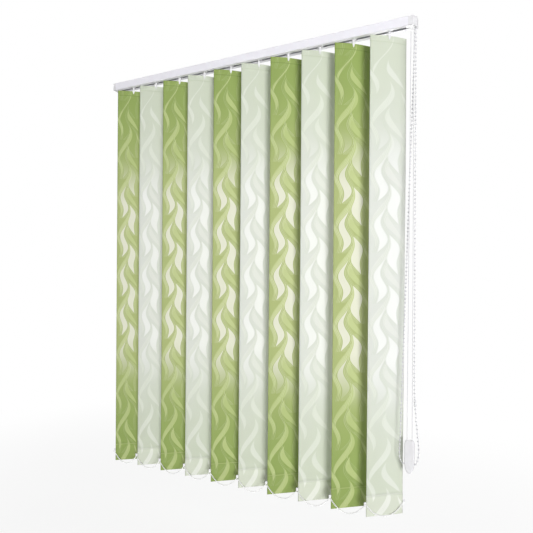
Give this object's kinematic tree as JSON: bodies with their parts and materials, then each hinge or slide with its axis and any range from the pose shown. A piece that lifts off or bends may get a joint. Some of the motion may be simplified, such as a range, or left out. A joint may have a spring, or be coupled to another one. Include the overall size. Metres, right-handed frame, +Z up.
{
  "type": "vertical blind",
  "caption": "Vertical blind: slotted white head rail with geared carriers, turning cloth vanes in two greens, bottom chains, bead chain and traverse cord with a weight.",
  "frame": {"origin": "middle of the head rail's top face, where it meets the ceiling", "axes": "+Z up, +X along the rail to the control end, -Y towards the room"},
  "size_m": [1.2744, 0.0947, 1.5906],
  "materials": {
    "rail_enamel": "white enamel on aluminium",
    "white_moulding": "moulded white plastic",
    "bright_rod": "drawn bar",
    "white_cord": "braided white cord",
    "white_beads": "white bead chain",
    "green_cloth": "green figured cloth",
    "pale_cloth": "pale green figured cloth"
  },
  "bodies": {
    "rail": {"head_rail": "rail_enamel", "control_end_cap": "white_moulding", "return_end_cap": "white_moulding", "traverse_cord": "white_cord", "inner_cord_strand": "white_cord", "outer_cord_strand": "white_cord", "cord_weight": "white_moulding", "control_chain": "white_beads", "carrier_10": "white_moulding"},
    "tilt_shaft": {"tilt_rod": "bright_rod", "chain_sprocket": "white_moulding"},
    "return_wheel": {"return_pulley": "white_moulding"},
    "inner_guide_wheel": {"inner_guide_pulley": "white_moulding"},
    "outer_guide_wheel": {"outer_guide_pulley": "white_moulding"},
    "vane_01": {"hook_01": "white_moulding", "vane_01": "green_cloth", "bottom_weight_01": "white_moulding"},
    "carrier_01": {"carrier_01": "white_moulding"},
    "vane_02": {"hook_02": "white_moulding", "vane_02": "pale_cloth", "bottom_weight_02": "white_moulding"},
    "carrier_02": {"carrier_02": "white_moulding"},
    "vane_03": {"hook_03": "white_moulding", "vane_03": "green_cloth", "bottom_weight_03": "white_moulding"},
    "carrier_03": {"carrier_03": "white_moulding"},
    "vane_04": {"hook_04": "white_moulding", "vane_04": "pale_cloth", "bottom_weight_04": "white_moulding"},
    "carrier_04": {"carrier_04": "white_moulding"},
    "vane_05": {"hook_05": "white_moulding", "vane_05": "green_cloth", "bottom_weight_05": "white_moulding"},
    "carrier_05": {"carrier_05": "white_moulding"},
    "vane_06": {"hook_06": "white_moulding", "vane_06": "pale_cloth", "bottom_weight_06": "white_moulding"},
    "carrier_06": {"carrier_06": "white_moulding"},
    "vane_07": {"hook_07": "white_moulding", "vane_07": "green_cloth", "bottom_weight_07": "white_moulding"},
    "carrier_07": {"carrier_07": "white_moulding"},
    "vane_08": {"hook_08": "white_moulding", "vane_08": "pale_cloth", "bottom_weight_08": "white_moulding"},
    "carrier_08": {"carrier_08": "white_moulding"},
    "vane_09": {"hook_09": "white_moulding", "vane_09": "green_cloth", "bottom_weight_09": "white_moulding"},
    "carrier_09": {"carrier_09": "white_moulding"},
    "vane_10": {"hook_10": "white_moulding", "vane_10": "pale_cloth", "bottom_weight_10": "white_moulding", "bottom_chain_end": "white_beads"},
    "front_chain": {"bottom_chain_front": "white_beads"},
    "back_chain": {"bottom_chain_back": "white_beads"}
  },
  "joints": [
    {"name": "traverse_01", "type": "slide", "parent": "rail", "child": "carrier_01", "axis": [1, 0, 0], "range_m": [0, 0.855], "deforming": ["bottom_chain_front", "bottom_chain_back"]},
    {"name": "tilt_01", "type": "hinge", "parent": "carrier_01", "child": "vane_01", "pos_m": [-0.5265, 0, -0.03], "axis": [0, 0, 1], "range_deg": [-28, 128], "deforming": ["bottom_chain_front", "bottom_chain_back"]},
    {"name": "traverse_02", "type": "slide", "parent": "rail", "child": "carrier_02", "axis": [1, 0, 0], "range_m": [-0.0005, 0.7605]},
    {"name": "tilt_02", "type": "hinge", "parent": "carrier_02", "child": "vane_02", "pos_m": [-0.4075, 0, -0.03], "axis": [0, 0, 1], "range_deg": [-28.5, 128.5]},
    {"name": "traverse_03", "type": "slide", "parent": "rail", "child": "carrier_03", "axis": [1, 0, 0], "range_m": [-0.0005, 0.6655]},
    {"name": "tilt_03", "type": "hinge", "parent": "carrier_03", "child": "vane_03", "pos_m": [-0.2885, 0, -0.03], "axis": [0, 0, 1], "range_deg": [-28.5, 128.5]},
    {"name": "traverse_04", "type": "slide", "parent": "rail", "child": "carrier_04", "axis": [1, 0, 0], "range_m": [-0.0005, 0.5705]},
    {"name": "tilt_04", "type": "hinge", "parent": "carrier_04", "child": "vane_04", "pos_m": [-0.1695, 0, -0.03], "axis": [0, 0, 1], "range_deg": [-28.5, 128.5]},
    {"name": "traverse_05", "type": "slide", "parent": "rail", "child": "carrier_05", "axis": [1, 0, 0], "range_m": [-0.0005, 0.4755]},
    {"name": "tilt_05", "type": "hinge", "parent": "carrier_05", "child": "vane_05", "pos_m": [-0.0505, 0, -0.03], "axis": [0, 0, 1], "range_deg": [-28.5, 128.5]},
    {"name": "traverse_06", "type": "slide", "parent": "rail", "child": "carrier_06", "axis": [1, 0, 0], "range_m": [-0.0005, 0.3805]},
    {"name": "tilt_06", "type": "hinge", "parent": "carrier_06", "child": "vane_06", "pos_m": [0.0685, 0, -0.03], "axis": [0, 0, 1], "range_deg": [-28.5, 128.5]},
    {"name": "traverse_07", "type": "slide", "parent": "rail", "child": "carrier_07", "axis": [1, 0, 0], "range_m": [-0.0005, 0.2855]},
    {"name": "tilt_07", "type": "hinge", "parent": "carrier_07", "child": "vane_07", "pos_m": [0.1875, 0, -0.03], "axis": [0, 0, 1], "range_deg": [-28.5, 128.5]},
    {"name": "traverse_08", "type": "slide", "parent": "rail", "child": "carrier_08", "axis": [1, 0, 0], "range_m": [-0.0005, 0.1905]},
    {"name": "tilt_08", "type": "hinge", "parent": "carrier_08", "child": "vane_08", "pos_m": [0.3065, 0, -0.03], "axis": [0, 0, 1], "range_deg": [-28.5, 128.5]},
    {"name": "traverse_09", "type": "slide", "parent": "rail", "child": "carrier_09", "axis": [1, 0, 0], "range_m": [-0.0005, 0.0955]},
    {"name": "tilt_09", "type": "hinge", "parent": "carrier_09", "child": "vane_09", "pos_m": [0.4255, 0, -0.03], "axis": [0, 0, 1], "range_deg": [-28.5, 128.5]},
    {"name": "tilt_10", "type": "hinge", "parent": "rail", "child": "vane_10", "pos_m": [0.5445, 0, -0.03], "axis": [0, 0, 1], "range_deg": [-28.5, 128.5]},
    {"name": "rod_turn", "type": "hinge", "parent": "rail", "child": "tilt_shaft", "pos_m": [0, 0.0095, -0.011], "axis": [1, 0, 0], "range_deg": [-171, 771]},
    {"name": "front_chain_swivel", "type": "hinge", "parent": "vane_10", "child": "front_chain", "pos_m": [0.49256, -0.04358, -1.546], "axis": [0, 0, 1], "range_deg": [-128.5, 28.5]},
    {"name": "back_chain_swivel", "type": "hinge", "parent": "vane_10", "child": "back_chain", "pos_m": [0.59644, 0.04358, -1.546], "axis": [0, 0, 1], "range_deg": [-128.5, 28.5]},
    {"name": "return_wheel_turn", "type": "hinge", "parent": "rail", "child": "return_wheel", "pos_m": [-0.614, -0.012, -0.012], "axis": [0, 0, 1], "range_deg": [-13244.97, 5]},
    {"name": "inner_guide_turn", "type": "hinge", "parent": "rail", "child": "inner_guide_wheel", "pos_m": [0.6124, -0.0157, -0.0157], "axis": [0, 1, 0], "range_deg": [-13244.97, 5]},
    {"name": "outer_guide_turn", "type": "hinge", "parent": "rail", "child": "outer_guide_wheel", "pos_m": [0.6204, -0.0083, -0.0157], "axis": [0, 1, 0], "range_deg": [-5, 13244.97]}
  ],
  "couplings": [
    {"joint": "traverse_02", "follows": "traverse_01", "ratio": 0.88889},
    {"joint": "tilt_02", "follows": "tilt_01", "ratio": 1},
    {"joint": "traverse_03", "follows": "traverse_01", "ratio": 0.77778},
    {"joint": "tilt_03", "follows": "tilt_01", "ratio": 1},
    {"joint": "traverse_04", "follows": "traverse_01", "ratio": 0.66667},
    {"joint": "tilt_04", "follows": "tilt_01", "ratio": 1},
    {"joint": "traverse_05", "follows": "traverse_01", "ratio": 0.55556},
    {"joint": "tilt_05", "follows": "tilt_01", "ratio": 1},
    {"joint": "traverse_06", "follows": "traverse_01", "ratio": 0.44444},
    {"joint": "tilt_06", "follows": "tilt_01", "ratio": 1},
    {"joint": "traverse_07", "follows": "traverse_01", "ratio": 0.33333},
    {"joint": "tilt_07", "follows": "tilt_01", "ratio": 1},
    {"joint": "traverse_08", "follows": "traverse_01", "ratio": 0.22222},
    {"joint": "tilt_08", "follows": "tilt_01", "ratio": 1},
    {"joint": "traverse_09", "follows": "traverse_01", "ratio": 0.11111},
    {"joint": "tilt_09", "follows": "tilt_01", "ratio": 1},
    {"joint": "tilt_10", "follows": "tilt_01", "ratio": 1},
    {"joint": "rod_turn", "follows": "tilt_01", "ratio": 6},
    {"joint": "front_chain_swivel", "follows": "tilt_01", "ratio": -1},
    {"joint": "back_chain_swivel", "follows": "tilt_01", "ratio": -1},
    {"joint": "return_wheel_turn", "follows": "traverse_01", "rad_per_m": -270.27},
    {"joint": "inner_guide_turn", "follows": "traverse_01", "rad_per_m": -270.27},
    {"joint": "outer_guide_turn", "follows": "traverse_01", "rad_per_m": 270.27}
  ]
}
